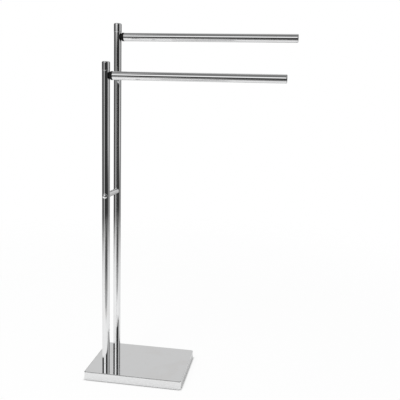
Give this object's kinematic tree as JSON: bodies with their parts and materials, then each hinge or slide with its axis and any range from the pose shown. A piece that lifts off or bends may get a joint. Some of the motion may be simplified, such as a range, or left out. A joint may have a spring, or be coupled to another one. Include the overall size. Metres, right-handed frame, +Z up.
{
  "type": "freestanding towel stand",
  "caption": "Freestanding towel stand: upright tubes on a heavy flat base, each with a one-sided towel arm, joined by a cross tie at mid height.",
  "frame": {"origin": "centre of the base's underside, on the floor", "axes": "+X along the towel arms to their free ends, +Y to the back, +Z up"},
  "size_m": [0.483, 0.18, 0.879],
  "materials": {
    "chromed_base": "polished chrome plate on drawn steel sheet",
    "chromed_tube": "polished chrome plate on steel tube",
    "chromed_trim": "polished chrome plate on turned parts",
    "black_plastic": "moulded, satin black",
    "zinc_steel": "zinc-plated screws, studs and plugs",
    "cement": "cast cement, rough",
    "painted_plate": "thin black paint on steel sheet",
    "pad_rubber": "closed-cell foam rubber sheet"
  },
  "bodies": {
    "root": {"base_shell": "chromed_base", "ballast_slab": "cement", "bottom_plate": "painted_plate", "anti_slip_pad": "pad_rubber", "cover_screws": "zinc_steel", "base_bolts": "zinc_steel", "base_washers": "zinc_steel", "front_post": "chromed_tube", "rear_post": "chromed_tube", "front_foot_plug": "zinc_steel", "rear_foot_plug": "zinc_steel", "front_post_cap": "chromed_trim", "rear_post_cap": "chromed_trim", "lower_arm": "chromed_tube", "upper_arm": "chromed_tube", "lower_arm_end_cap": "chromed_trim", "upper_arm_end_cap": "chromed_trim", "lower_arm_saddle": "black_plastic", "upper_arm_saddle": "black_plastic", "lower_arm_plug": "zinc_steel", "upper_arm_plug": "zinc_steel", "lower_arm_stud": "zinc_steel", "upper_arm_stud": "zinc_steel", "cross_spacer": "chromed_trim", "cross_rod": "zinc_steel", "front_dome_nut": "chromed_trim", "rear_dome_nut": "chromed_trim"}
  },
  "joints": []
}
